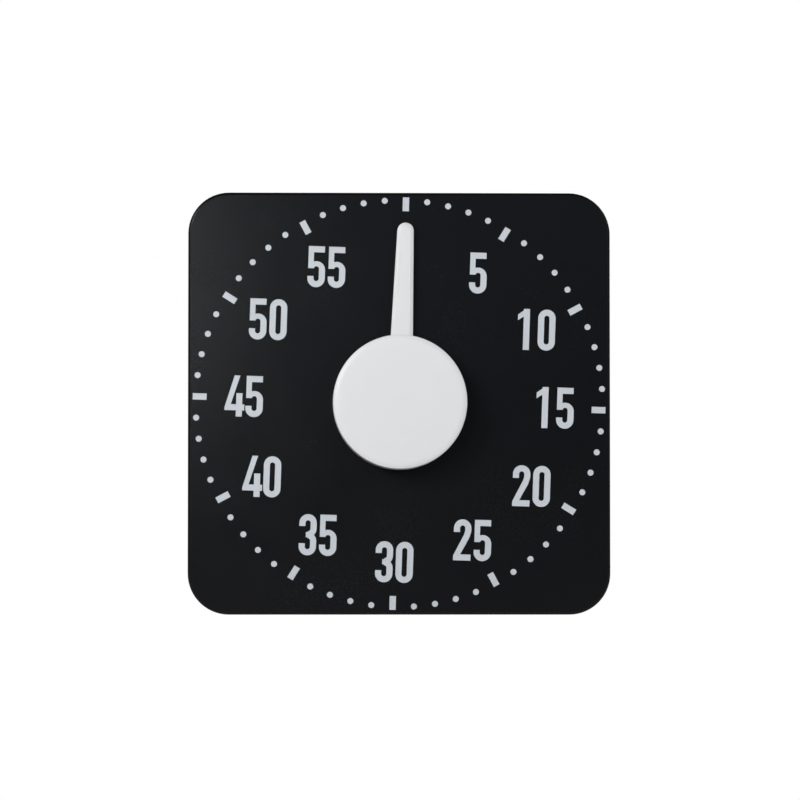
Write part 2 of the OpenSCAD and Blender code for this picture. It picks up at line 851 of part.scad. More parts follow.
// The radius at the bottom of the gaps between a wheel's teeth.
function wheel_root_r(teeth, size) = teeth * size / 2 - 1.2 * size;

// Wheel outline: radial flanks below the pitch circle, rounded points above it.
function wheel_points(teeth, size) =
    let (pitch_r = teeth * size / 2, roller = leaves * size / 4, half = 90 / teeth * 0.96,
         root = wheel_root_r(teeth, size), rolls = [0, 25, 45, 60, 70])
    [for (i = [0 : teeth - 1]) let (turn = i * 360 / teeth) each [
        polar(root, turn - half),
        for (roll = rolls)
            polar(point_r(pitch_r, roller, roll), turn - half + point_turn(pitch_r, roller, roll)),
        for (k = [len(rolls) - 1 : -1 : 0])
            polar(point_r(pitch_r, roller, rolls[k]), turn + half - point_turn(pitch_r, roller, rolls[k])),
        polar(root, turn + half)
    ]];

// Pinion outline: radial leaf flanks with half-round tips.
function pinion_points(size) =
    let (pitch_r = leaves * size / 2, half = 90 / leaves * 0.72, tip = pitch_r * sin(half),
         root = pitch_r - 1.7 * size)
    [for (i = [0 : leaves - 1]) let (turn = i * 360 / leaves) each [
        polar(root, turn - half),
        for (bend = [0 : 30 : 180]) polar(pitch_r + tip * sin(bend), turn - half * cos(bend)),
        polar(root, turn + half)
    ]];

// Toothed wheel with spokes. A gap between teeth faces the direction mesh_turn.
module wheel(teeth, size, bore, hub, spokes, mesh_turn) {
    rim = wheel_root_r(teeth, size) - wheel_rim_t;
    difference() {
        rotate(mesh_turn + 180 / teeth) polygon(wheel_points(teeth, size));
        difference() {
            circle(rim);
            circle(hub);
            for (i = [0 : spokes - 1]) rotate(i * 360 / spokes + 20)
                translate([0, -spoke_w / 2]) square([rim + 1, spoke_w]);
        }
        circle(bore);
    }
}

// Arbor between the plates with its pivots, and a pinion with a leaf facing mesh_turn.
module arbor(size, level, mesh_turn) {
    rod(gap_back_z + shake, gap_front_z - shake, arbor_r);
    rod(back_plate_z, front_plate_z, pivot_r);
    at_level(level, pinion_l) rotate(mesh_turn) polygon(pinion_points(size));
}

function turn_to(from, to) = atan2(to[1] - from[1], to[0] - from[0]);
second_turn = turn_to([0, 0], second_at);
third_turn = turn_to(second_at, third_at);
escape_turn = turn_to(third_at, escape_at);

module great_wheel()
    color([0.8, 0.66, 0.36]) at_level(great_level, great_t) difference() {
        wheel(great_teeth, great_module, seat_r, great_hub_r, 4, second_turn);
        translate(click_at) circle(click_pin_r);
    }

module second_wheel()
    color([0.8, 0.66, 0.36]) at(second_at) at_level(second_level, wheel_t)
        wheel(train_teeth, second_module, arbor_r, 3, 4, third_turn);

module second_arbor()
    color([0.62, 0.63, 0.65]) at(second_at)
        arbor(great_module, great_level - 0.4, second_turn + 180);

module third_wheel()
    color([0.8, 0.66, 0.36]) at(third_at) at_level(third_level, wheel_t)
        wheel(train_teeth, third_module, arbor_r, 3, 4, escape_turn);

module third_arbor()
    color([0.62, 0.63, 0.65]) at(third_at)
        arbor(second_module, second_level - 0.7, third_turn + 180);

module escape_arbor()
    color([0.62, 0.63, 0.65]) at(escape_at)
        arbor(third_module, third_level - 0.7, escape_turn + 180);

// Escape wheel outline: pointed teeth with one steep and one sloping side.
function escape_points() =
    [for (i = [0 : escape_teeth - 1]) let (turn = i * 360 / escape_teeth) each [
        polar(escape_r - escape_tooth_h, turn - 2), polar(escape_r, turn - 0.8),
        polar(escape_r, turn + 0.8), polar(escape_r - escape_tooth_h, turn + 11)
    ]];

module escape_wheel()
    color([0.8, 0.66, 0.36]) at(escape_at) at_level(escape_level, wheel_t) difference() {
        rotate(staff_turn) polygon(escape_points());
        difference() {
            circle(escape_r - escape_tooth_h - escape_rim_t);
            circle(escape_hub_r);
            for (i = [0 : 3]) rotate(i * 90)
                translate([0, -escape_spoke_w / 2]) square([escape_r - 2, escape_spoke_w]);
        }
        circle(arbor_r);
    }

// ---- ratchet ----

function ratchet_points() =
    [for (i = [0 : ratchet_teeth - 1]) let (turn = i * 360 / ratchet_teeth) each [
        polar(ratchet_r, turn), polar(ratchet_root, turn + 1)
    ]];

module ratchet_wheel()
    color([0.62, 0.63, 0.65]) at_level(ratchet_level, ratchet_t) difference() {
        polygon(ratchet_points());
        circle(seat_r);
    }

module click() {
    toe = polar(ratchet_root + 0.2, 2.2);
    across = polar(1.7, turn_to(toe, click_at) + 90);
    color([0.62, 0.63, 0.65]) at_level(ratchet_level, ratchet_t) difference() {
        union() {
            translate(click_at) circle(click_eye_r);
            polygon([toe, polar(ratchet_r + 0.4, 4), click_at - across, click_at + across]);
        }
        translate(click_at) circle(click_pin_r);
    }
}

module click_screw()
    color([0.62, 0.63, 0.65]) at(click_at) {
        rod(gap_front_z - ratchet_level - ratchet_t, gap_front_z - great_level, click_pin_r);
        at_level(ratchet_level + ratchet_t, 0.6) circle(1.7);
    }

// Leaf spring on a foot that stands on the great wheel.
module click_spring()
    color([0.62, 0.63, 0.65]) {
        foot_level = great_level + great_t;
        at_level(foot_level, ratchet_level - foot_level + 1)
            translate(click_spring_at) circle(click_spring_foot_r);
        at_level(ratchet_level, 1) strip(click_spring_at, click_spring_tip, 0.3);
    }

// ---- springs ----

// Points of a flat spiral strip, inner end first, outer side and then back along the inner side.
function spiral_points(r_in, r_out, turns, end_turn, thick) =
    let (steps = turns * 24, at_step = function(k, side)
            polar(r_in + (r_out - r_in) * k / steps + side * thick / 2, end_turn - (steps - k) * 15))
    concat([for (k = [0 : steps]) at_step(k, 1)], [for (k = [steps : -1 : 0]) at_step(k, -1)]);

module mainspring()
    color([0.45, 0.47, 0.52]) at_level(spring_level, mainspring_h)
        polygon(spiral_points(barrel_r + mainspring_t / 2 + 0.05,
                              mainspring_r - mainspring_t / 2 - 0.02, 7,
                              turn_to([0, 0], spring_post_at), mainspring_t));

module hairspring()
    color([0.45, 0.47, 0.52]) at(staff_at) slab(hairspring_z, hairspring_h)
        polygon(spiral_points(collet_r + shake, hairspring_r, 6, cock_turn, hairspring_t));

module hairspring_stud()
    color([0.8, 0.66, 0.36]) at(staff_at + polar(hairspring_r + stud_pin_r + shake, cock_turn))
        rod(front_plate_z, hairspring_z + hairspring_h + shake, stud_pin_r);

// ---- balance ----

// The place of the pallet pin on one side, just clear of the escape wheel's tips.
function pallet_at(side) =
    escape_at + polar(escape_r + pallet_pin_r + pallet_gap, staff_turn + side * pallet_turn);

module pallet_anchor()
    color([0.62, 0.63, 0.65]) {
        at_level(escape_level - anchor_lift, anchor_t) difference() {
            union() {
                translate(staff_at) circle(staff_r + 1);
                for (side = [-1, 1]) {
                    strip(staff_at, pallet_at(side), anchor_w);
                    translate(pallet_at(side)) circle(anchor_w / 2);
                }
            }
            translate(staff_at) circle(staff_r);
        }
        for (side = [-1, 1]) at(pallet_at(side))
            at_level(escape_level - anchor_lift + anchor_t / 2, wheel_t + 1) circle(pallet_pin_r);
    }

module balance_staff()
    color([0.62, 0.63, 0.65]) at(staff_at) {
        rod(gap_back_z + shake, cock_z - shake, staff_r);
        rod(back_plate_z, cock_z + cock_t, staff_pivot_r);
    }

module balance_wheel()
    color([0.8, 0.66, 0.36]) at(staff_at) slab(balance_z, balance_t) difference() {
        circle(balance_r);
        difference() {
            circle(balance_r - balance_rim_t);
            circle(balance_hub_r);
            for (i = [0 : 2]) rotate(i * 120)
                translate([0, -balance_spoke_w / 2]) square([balance_r - 1, balance_spoke_w]);
        }
        circle(staff_r);
    }

module hairspring_collet()
    color([0.8, 0.66, 0.36]) at(staff_at) slab(hairspring_z - shake, hairspring_h + 2 * shake)
        difference() {
            circle(collet_r);
            circle(staff_r);
        }

module balance_cock()
    color([0.72, 0.73, 0.74]) difference() {
        union() {
            slab(cock_z, cock_t) {
                translate(staff_at) circle(2.4);
                strip(staff_at, cock_foot_at, 4.4);
            }
            at(cock_foot_at) rotate(cock_turn)
                slab(front_plate_z, cock_z + cock_t - front_plate_z) square([6, 10], center = true);
        }
        at(staff_at) rod(cock_z - cut, cock_z + cock_t + cut, staff_pivot_r + running_fit);
        cock_screw_places() rod(front_plate_z - cut, cock_z + cock_t + cut, peg_r);
    }

module cock_screw_places()
    for (side = [-1, 1]) at(cock_foot_at) rotate(cock_turn) translate([0, side * 3, 0]) children();

module cock_screws()
    color([0.62, 0.63, 0.65]) cock_screw_places() {
        rod(front_plate_z, cock_z + cock_t, peg_r);
        rod(cock_z + cock_t, cock_z + cock_t + 0.8, 1.4);
    }

// ---- hammer and bell ----

module hammer_arbor()
    color([0.62, 0.63, 0.65]) at(hammer_at) {
        rod(gap_back_z + shake, cam_z + cam_t + 0.2, arbor_r);
        rod(back_plate_z, gap_back_z + shake, pivot_r);
    }

module hammer_arm()
    color([0.62, 0.63, 0.65]) at_level(hammer_level, hammer_t) difference() {
        union() {
            translate(hammer_at) circle(hammer_eye_r);
            strip(hammer_at, head_at, hammer_w);
            translate(head_at) circle(head_boss_r);
        }
        translate(hammer_at) circle(arbor_r);
        translate(head_at) circle(head_peg_r);
    }

module hammer_head()
    color([0.8, 0.66, 0.36]) at(head_at) {
        rod(gap_front_z - hammer_level, gap_front_z - hammer_level + hammer_head_l, hammer_head_r);
        rod(gap_front_z - hammer_level - hammer_t, gap_front_z - hammer_level, head_peg_r);
    }

module hammer_tail()
    color([0.62, 0.63, 0.65]) slab(cam_z, cam_t) difference() {
        union() {
            translate(hammer_at) circle(hammer_tail_eye_r);
            strip(hammer_at, polar(cam_r + part_gap, turn_to([0, 0], hammer_at)), hammer_tail_w);
        }
        translate(hammer_at) circle(arbor_r);
    }

module hammer_spring()
    color([0.45, 0.47, 0.52]) {
        touch = hammer_at + polar(hammer_spring_reach, hammer_turn)
            + polar(hammer_w / 2 + 0.2, hammer_turn - 90);
        at(hammer_spring_at) {
            rod(back_plate_z, gap_back_z + shake, peg_r);
            rod(gap_back_z, gap_front_z - hammer_level, hammer_spring_foot_r);
        }
        at_level(hammer_level + 0.2, hammer_spring_h) strip(hammer_spring_at, touch, hammer_spring_t);
    }

module bell()
    color([0.72, 0.73, 0.74]) at(bell_at) translate([0, 0, bell_crown_z]) rotate_extrude() difference() {
        flat_r = bell_r - bell_bend;
        union() {
            square([flat_r, bell_h]);
            translate([0, bell_bend]) square([bell_r, bell_h - bell_bend]);
            translate([flat_r, bell_bend]) circle(bell_bend);
        }
        translate([0, bell_t]) square([flat_r, bell_h]);
        translate([0, bell_bend]) square([bell_r - bell_t, bell_h]);
        translate([flat_r, bell_bend]) circle(bell_bend - bell_t);
        square([screw_r + screw_gap, bell_h]);
    }

module bell_post()
    color([0.62, 0.63, 0.65]) at(bell_at) difference() {
        union() {
            rod(bell_crown_z + bell_t, bell_boss_z, bell_post_r);
            rod(bell_boss_z, bell_boss_z + bell_peg_l, screw_r);
        }
        rod(bell_crown_z, bell_crown_z + bell_screw_l + 1, screw_r);
    }

module bell_screw()
    color([0.62, 0.63, 0.65]) at(bell_at)
        translate([0, 0, bell_crown_z]) screw(screw_r, bell_screw_l, small_head_r, small_head_h);

// ---- what is drawn ----

face_frame() front_case();
face_frame() rear_case();
face_frame() case_screws();
face_frame() magnets();
face_frame() stand_leg();
face_frame() stand_pin();
face_frame() minute_marks();
face_frame() numbers();
face_frame() knob_cap();
face_frame() knob_insert();
face_frame() pointer();
face_frame() front_plate();
face_frame() back_plate();
face_frame() plate_pillars();
face_frame() pillar_nuts();
face_frame() mount_screws();
face_frame() arbor_bush();
face_frame() main_arbor();
face_frame() cam();
face_frame() stop_arm();
face_frame() stop_pin();
face_frame() great_wheel();
face_frame() ratchet_wheel();
face_frame() click();
face_frame() click_screw();
face_frame() click_spring();
face_frame() mainspring();
face_frame() spring_post();
face_frame() second_wheel();
face_frame() second_arbor();
face_frame() third_wheel();
face_frame() third_arbor();
face_frame() escape_wheel();
face_frame() escape_arbor();
face_frame() pallet_anchor();
face_frame() balance_staff();
face_frame() balance_wheel();
face_frame() hairspring_collet();
face_frame() hairspring();
face_frame() hairspring_stud();
face_frame() balance_cock();
face_frame() cock_screws();
face_frame() hammer_arbor();
face_frame() hammer_arm();
face_frame() hammer_head();
face_frame() hammer_tail();
face_frame() hammer_spring();
face_frame() bell();
face_frame() bell_post();
face_frame() bell_screw();
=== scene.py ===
"""Looks for the countdown timer: finishes, smooth pieces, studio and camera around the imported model.

Lengths are metres in the model's own frame: +Z up, the dial facing -Y, the origin under the case.
"""

from __future__ import annotations

import logging
import math
from collections.abc import Callable
from dataclasses import dataclass
from enum import Enum

import bpy
import numpy as np
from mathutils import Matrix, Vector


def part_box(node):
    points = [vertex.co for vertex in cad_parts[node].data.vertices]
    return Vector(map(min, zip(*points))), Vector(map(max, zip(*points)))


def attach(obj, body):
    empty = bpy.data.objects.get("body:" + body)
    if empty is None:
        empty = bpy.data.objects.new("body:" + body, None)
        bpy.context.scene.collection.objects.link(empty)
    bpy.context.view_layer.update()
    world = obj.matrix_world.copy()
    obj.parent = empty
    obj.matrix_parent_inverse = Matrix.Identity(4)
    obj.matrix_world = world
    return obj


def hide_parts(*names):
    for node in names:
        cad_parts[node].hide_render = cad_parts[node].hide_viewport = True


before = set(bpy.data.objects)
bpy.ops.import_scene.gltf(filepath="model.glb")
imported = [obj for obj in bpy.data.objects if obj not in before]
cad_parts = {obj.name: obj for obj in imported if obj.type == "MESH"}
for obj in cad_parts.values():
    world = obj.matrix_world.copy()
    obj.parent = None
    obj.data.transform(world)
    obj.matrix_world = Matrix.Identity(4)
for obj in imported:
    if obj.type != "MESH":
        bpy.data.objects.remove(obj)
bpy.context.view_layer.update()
LOG = logging.getLogger("timer")

MM = 0.001
# the dial's face, and the height of the knob's axis
DIAL_Y = -9.5 * MM
AXIS_Z = 90 * MM
# most of a noise's values lie in this span
NOISE_SPAN = (0.3, 0.7)
# in a made mesh: points this near are merged, slivers this thin go, and bends this soft are smooth
MERGE_WITHIN = 1e-7
DISSOLVE_WITHIN = 1e-8
SMOOTH_UP_TO = math.radians(35)

Colour = tuple[float, float, float]
Point = tuple[float, float, float]
# a closed surface: its points in metres, and its quads as rows of point numbers
Shell = tuple[np.ndarray, np.ndarray]
Socket = bpy.types.NodeSocket
Value = float | Colour | Socket

WHITE: Colour = (1.0, 1.0, 1.0)
WARM_WHITE: Colour = (1.0, 0.985, 0.955)


# ---- node trees ----


class Tree:
    """A shader node tree being written, of a material or of a group."""

    def __init__(self, tree: bpy.types.NodeTree) -> None:
        """Starts from an empty tree.

        Args:
            tree: The node tree to fill.
        """
        self.tree = tree
        tree.nodes.clear()

    def add(self, kind: str, settings: dict[str, object], **inputs: Value) -> bpy.types.Node:
        """Adds a node.

        Args:
            kind: The node's Blender type, without its ShaderNode prefix.
            settings: The node's own settings.
            **inputs: Values or sockets for its inputs, with _ for a space in their names.

        Returns:
            The new node.
        """
        node = self.tree.nodes.new("ShaderNode" + kind)
        for name, value in settings.items():
            setattr(node, name, value)
        for name, value in inputs.items():
            self.feed(node.inputs[name.replace("_", " ")], value)
        return node

    def feed(self, socket: Socket, value: Value) -> None:
        """Links a socket to an input, or sets the input's value.

        Args:
            socket: The input.
            value: A socket to link from, a number, or a colour.
        """
        if isinstance(value, Socket):
            self.tree.links.new(value, socket)
        elif socket.type == "RGBA":
            socket.default_value = (*value, 1.0)
        else:
            socket.default_value = value

    def math(self, operation: str, *terms: float | Socket) -> Socket:
        """Adds a Math node.

        Args:
            operation: The operation's Blender name.
            *terms: Its numbers or sockets, in order.

        Returns:
            The result's socket.
        """
        node = self.add("Math", {"operation": operation})
        for socket, term in zip(node.inputs, terms):
            self.feed(socket, term)
        return node.outputs[0]

    def noise(self, where: Socket, scale: Value, detail: float = 3.0) -> Socket:
        """Adds a noise of 0 to 1.

        Args:
            where: The coordinates.
            scale: The number of bumps in a metre.
            detail: How many finer noises lie on it.

        Returns:
            The noise's socket.
        """
        return self.add("TexNoise", {}, Vector=where, Scale=scale, Detail=detail).outputs["Fac"]

    def ramp(self, value: Socket, low: float, high: float, a: Value, b: Value) -> Socket:
        """Maps low..high of a value to a..b, held between them.

        Args:
            value: The socket to map.
            low: The value that gives a.
            high: The value that gives b.
            a: The result at low.
            b: The result at high.

        Returns:
            The mapped value's socket.
        """
        node = self.add("MapRange", {"clamp": True}, Value=value)
        for index, term in ((1, low), (2, high), (3, a), (4, b)):
            self.feed(node.inputs[index], term)
        return node.outputs[0]

    def mix(self, share: Value, a: Value, b: Value) -> Socket:
        """Mixes two colours.

        Args:
            share: The share of b.
            a: The first colour.
            b: The second colour.

        Returns:
            The mixed colour's socket.
        """
        node = self.add("Mix", {"data_type": "RGBA"})
        self.feed(node.inputs[0], share)
        self.feed(node.inputs[6], a)
        self.feed(node.inputs[7], b)
        return node.outputs[2]

    def place(self, effect: Effect, **inputs: Value) -> bpy.types.NodeOutputs:
        """Places a shared effect's group.

        Args:
            effect: The effect.
            **inputs: Values or sockets for its inputs.

        Returns:
            The group's outputs.
        """
        node = self.add("Group", {"node_tree": effect.group()})
        for name, value in inputs.items():
            self.feed(node.inputs[name], value)
        return node.outputs


class Effect(Enum):
    """The effects that several finishes share, each a node group that is built once."""

    GRAIN = "moulded grain"
    BRUSHED = "brushed lines"
    TURNED = "turned rings"
    EDGES = "worn edges"
    HANDLING = "handling marks"

    def group(self) -> bpy.types.NodeTree:
        """Returns the effect's node group, built at its first use."""
        made = bpy.data.node_groups.get(self.value)
        return made if made else _BUILDERS[self](self.value)


def _new_group(
    name: str, numbers: dict[str, float], outputs: tuple[str, ...]
) -> tuple[Tree, Callable[[str], Socket], bpy.types.Node]:
    """Starts a node group with a Vector input, number inputs and number outputs.

    Args:
        name: The group's name.
        numbers: Its number inputs and their first values.
        outputs: Its outputs.

    Returns:
        The tree, a function that gives an input's socket by name, and the output node.
    """
    group = bpy.data.node_groups.new(name, "ShaderNodeTree")
    group.interface.new_socket("Vector", in_out="INPUT", socket_type="NodeSocketVector")
    for label, value in numbers.items():
        socket = group.interface.new_socket(label, in_out="INPUT", socket_type="NodeSocketFloat")
        socket.default_value = value
    for label in outputs:
        group.interface.new_socket(label, in_out="OUTPUT", socket_type="NodeSocketFloat")
    tree = Tree(group)
    entry = group.nodes.new("NodeGroupInput")
    leave = group.nodes.new("NodeGroupOutput")
    return tree, lambda label: entry.outputs[label], leave


def _grain(name: str) -> bpy.types.NodeTree:
    """Spark-eroded mould texture: a fine cell pattern under a softer noise, and slow clouds of tone."""
    tree, given, leave = _new_group(name, {"Scale": 3000.0}, ("Height", "Tone"))
    where, scale = given("Vector"), given("Scale")
    soft_scale, cloud_scale = 0.45, 0.012
    cell_height, soft_height = 0.6, 0.8
    cells = tree.add("TexVoronoi", {"feature": "SMOOTH_F1"}, Vector=where, Scale=scale)
    soft = tree.noise(where, tree.math("MULTIPLY", scale, soft_scale), 4.0)
    cloud = tree.noise(where, tree.math("MULTIPLY", scale, cloud_scale), 2.0)
    height = tree.math("MULTIPLY", cells.outputs["Distance"], cell_height)
    height = tree.math("ADD", height, tree.math("MULTIPLY", soft, soft_height))
    tone = tree.math("ADD", tree.math("MULTIPLY", soft, 0.5), tree.math("MULTIPLY", cloud, 0.5))
    tree.feed(leave.inputs["Height"], height)
    tree.feed(leave.inputs["Tone"], tone)
    return tree.tree


def _brushed(name: str) -> bpy.types.NodeTree:
    """Long scratches along X: noise read on coordinates that are squeezed along X."""
    tree, given, leave = _new_group(name, {"Scale": 6000.0, "Stretch": 0.02}, ("Lines", "Tone"))
    squeeze = tree.add("CombineXYZ", {}, X=given("Stretch"), Y=1.0, Z=1.0)
    where = tree.add("VectorMath", {"operation": "MULTIPLY"})
    tree.feed(where.inputs[0], given("Vector"))
    tree.feed(where.inputs[1], squeeze.outputs[0])
    lines = tree.noise(where.outputs[0], given("Scale"), 5.0)
    band_scale = tree.math("MULTIPLY", given("Scale"), 0.05)
    tree.feed(leave.inputs["Lines"], lines)
    tree.feed(leave.inputs["Tone"], tree.noise(where.outputs[0], band_scale))
    return tree.tree


def _turned(name: str) -> bpy.types.NodeTree:
    """Lathe rings: noise read along the distance from the Y axis, with a slow wander around it."""
    tree, given, leave = _new_group(name, {"Scale": 5000.0}, ("Rings", "Tone"))
    parts = tree.add("SeparateXYZ", {}, Vector=given("Vector"))
    flat = tree.add("CombineXYZ", {}, X=parts.outputs["X"], Y=0.0, Z=parts.outputs["Z"])
    reach = tree.add("VectorMath", {"operation": "LENGTH"})
    tree.feed(reach.inputs[0], flat.outputs[0])
    depth = tree.math("MULTIPLY", parts.outputs["Y"], 0.5)
    line = tree.add("CombineXYZ", {}, X=reach.outputs["Value"], Y=depth, Z=0.0)
    rings = tree.noise(line.outputs[0], given("Scale"), 4.0)
    stain_scale = tree.math("MULTIPLY", given("Scale"), 0.03)
    tree.feed(leave.inputs["Rings"], rings)
    tree.feed(leave.inputs["Tone"], tree.noise(given("Vector"), stain_scale))
    return tree.tree


def _edges(name: str) -> bpy.types.NodeTree:
    """Rubbed edges: how far a rounded normal leaves the face's own, broken up by noise."""
    tree, given, leave = _new_group(name, {"Radius": 0.0004, "Strength": 1.0}, ("Mask",))
    rounded = tree.add("Bevel", {"samples": 6}, Radius=given("Radius"))
    face = tree.add("NewGeometry", {})
    match = tree.add("VectorMath", {"operation": "DOT_PRODUCT"})
    tree.feed(match.inputs[0], rounded.outputs["Normal"])
    tree.feed(match.inputs[1], face.outputs["Normal"])
    flat, sharp = 0.985, 0.8
    bend = tree.ramp(match.outputs["Value"], flat, sharp, 0.0, 1.0)
    broken = tree.ramp(tree.noise(given("Vector"), 900.0, 4.0), 0.35, 0.65, 0.25, 1.0)
    mask = tree.math("MULTIPLY", bend, broken)
    tree.feed(leave.inputs["Mask"], tree.math("MULTIPLY", mask, given("Strength")))
    return tree.tree


def _handling(name: str) -> bpy.types.NodeTree:
    """Faint smears from hands: two sizes of soft blotches."""
    tree, given, leave = _new_group(name, {"Scale": 30.0}, ("Mask",))
    broad = tree.ramp(tree.noise(given("Vector"), given("Scale"), 2.0), 0.42, 0.72, 0.0, 1.0)
    small = tree.noise(given("Vector"), tree.math("MULTIPLY", given("Scale"), 9.0), 4.0)
    tree.feed(leave.inputs["Mask"], tree.math("MULTIPLY", broad, small))
    return tree.tree


_BUILDERS: dict[Effect, Callable[[str], bpy.types.NodeTree]] = {
    Effect.GRAIN: _grain,
    Effect.BRUSHED: _brushed,
    Effect.TURNED: _turned,
    Effect.EDGES: _edges,
    Effect.HANDLING: _handling,
}


# ---- finishes ----


class Finish:
    """A surface finish that can be put on a piece."""

    name: str

    def material(self) -> bpy.types.Material:
        """Returns the finish's material, built at its first use."""
        made = bpy.data.materials.get(self.name)
        if made:
            return made
        material = bpy.data.materials.new(self.name)
        material.use_nodes = True
        tree = Tree(material.node_tree)
        shader = tree.add("BsdfPrincipled", {})
        self.write(tree, shader, tree.add("TexCoord", {}).outputs["Object"])
        output = tree.add("OutputMaterial", {})
        tree.feed(output.inputs["Surface"], self.surface(tree, shader))
        return material

    def surface(self, tree: Tree, shader: bpy.types.Node) -> Socket:
        """Returns what the material's output shows: its shader, as it is.

        Args:
            tree: The material's tree.
            shader: Its Principled shader.
        """
        return shader.outputs[0]

    def write(self, tree: Tree, shader: bpy.types.Node, where: Socket) -> None:
        """Writes the finish's nodes.

        Args:
            tree: The material's tree.
            shader: Its Principled shader.
            where: Object coordinates.
        """
        raise NotImplementedError

    def dress(self, *pieces: bpy.types.Object) -> None:
        """Puts the finish on pieces.

        Args:
            *pieces: Mesh objects, model nodes among them.
        """
        for piece in pieces:
            if not piece.material_slots:
                piece.data.materials.append(None)
            for slot in piece.material_slots:
                slot.material = self.material()


def _bump(tree: Tree, shader: bpy.types.Node, height: Socket, depth: float) -> None:
    """Feeds a height to the shader's normal.

    Args:
        tree: The material's tree.
        shader: Its shader.
        height: The height, about 0 to 1.
        depth: What a height of 1 stands for, in metres.
    """
    bump = tree.add("Bump", {}, Strength=1.0, Distance=depth, Height=height)
    tree.feed(shader.inputs["Normal"], bump.outputs["Normal"])


@dataclass(frozen=True)
class MouldedPlastic(Finish):
    """Injection-moulded plastic with a fine mould texture, soft gloss changes and rubbed edges."""

    name: str
    colour: Colour
    worn: Colour
    roughness: float
    # the texture's pitch and depth, in metres, and how far its tone drifts
    grain: float
    depth: float
    tone: float
    gloss: float = 0.5
    # how far the roughness drifts, and what smears and rubbing take from it
    drift: float = 0.04
    smeared: float = 0.07
    polished: float = 0.12

    def write(self, tree: Tree, shader: bpy.types.Node, where: Socket) -> None:
        """Colour drifts a little with the grain, edges are rubbed, and smears change the roughness."""
        grain = tree.place(Effect.GRAIN, Vector=where, Scale=1 / self.grain)
        rubbed = tree.place(Effect.EDGES, Vector=where, Radius=0.7 * MM, Strength=0.55)["Mask"]
        smears = tree.place(Effect.HANDLING, Vector=where, Scale=28.0)["Mask"]
        shade = tree.ramp(grain["Tone"], *NOISE_SPAN, 1 - self.tone, 1 + self.tone)
        tinted = tree.add("VectorMath", {"operation": "SCALE"})
        tree.feed(tinted.inputs[0], self.colour)
        tree.feed(tinted.inputs["Scale"], shade)
        tree.feed(shader.inputs["Base Color"], tree.mix(rubbed, tinted.outputs[0], self.worn))
        high, low = self.roughness + self.drift, self.roughness - self.drift
        rough = tree.ramp(grain["Tone"], *NOISE_SPAN, high, low)
        rough = tree.math("SUBTRACT", rough, tree.math("MULTIPLY", smears, self.smeared))
        rough = tree.math("SUBTRACT", rough, tree.math("MULTIPLY", rubbed, self.polished))
        tree.feed(shader.inputs["Roughness"], rough)
        shader.inputs["Specular IOR Level"].default_value = self.gloss
        shader.inputs["IOR"].default_value = 1.49
        _bump(tree, shader, grain["Height"], self.depth)


@dataclass(frozen=True)
class PrintedInk(Finish):
    """Screen-printed ink: nearly flat, with the dots of the plastic under it and thin spots."""

    name: str
    colour: Colour
    thin: Colour
    roughness: float
    depth: float = 0.02 * MM

    def write(self, tree: Tree, shader: bpy.types.Node, where: Socket) -> None:
        """Thin spots show a little of the ground, and the print's mesh gives a fine height."""
        grain = tree.place(Effect.GRAIN, Vector=where, Scale=3600.0)
        spots = tree.ramp(tree.noise(where, 1500.0, 5.0), 0.56, 0.8, 0.0, 0.45)
        cloud = tree.ramp(tree.noise(where, 60.0, 2.0), *NOISE_SPAN, 0.0, 0.12)
        worn = tree.math("ADD", spots, cloud)
        tree.feed(shader.inputs["Base Color"], tree.mix(worn, self.colour, self.thin))
        high, low = self.roughness + 0.08, self.roughness - 0.05
        tree.feed(shader.inputs["Roughness"], tree.ramp(grain["Tone"], *NOISE_SPAN, high, low))
        _bump(tree, shader, grain["Height"], self.depth)


class Pattern(Enum):
    """How a metal piece was finished."""

    BRUSHED = "brushed"
    TURNED = "turned"
    TUMBLED = "tumbled"


@dataclass(frozen=True)
class Metal(Finish):
    """Bare or plated metal with the marks of how it was worked."""

    name: str
    colour: Colour
    dull: Colour
    roughness: float
    pattern: Pattern
    centre: Point = (0.0, 0.0, 0.0)
    depth: float = 0.012 * MM

    def write(self, tree: Tree, shader: bpy.types.Node, where: Socket) -> None:
        """Lines or rings drive colour, gloss and height, and edges are brighter."""
        offset = tuple(-c for c in self.centre)
        local = tree.add("Mapping", {"vector_type": "POINT"}, Vector=where, Location=offset).outputs[0]
        if self.pattern is Pattern.BRUSHED:
            marks = tree.place(Effect.BRUSHED, Vector=local, Scale=7000.0, Stretch=0.015)
        elif self.pattern is Pattern.TURNED:
            marks = tree.place(Effect.TURNED, Vector=local, Scale=5200.0)
        else:
            marks = tree.place(Effect.GRAIN, Vector=local, Scale=2400.0)
        # the first output of all three is the height of the marks
        height, tone = marks[0], marks["Tone"]
        rubbed = tree.place(Effect.EDGES, Vector=where, Radius=0.15 * MM, Strength=0.7)["Mask"]
        bright = tree.math("SUBTRACT", 1.0, rubbed)
        aged = tree.math("MULTIPLY", tree.ramp(tone, 0.35, 0.7, 0.0, 0.7), bright)
        tree.feed(shader.inputs["Base Color"], tree.mix(aged, self.colour, self.dull))
        shader.inputs["Metallic"].default_value = 1.0
        rough = tree.ramp(height, *NOISE_SPAN, self.roughness - 0.07, self.roughness + 0.08)
        rough = tree.math("ADD", rough, tree.math("MULTIPLY", aged, 0.12))
        tree.feed(shader.inputs["Roughness"], rough)
        _bump(tree, shader, height, self.depth)


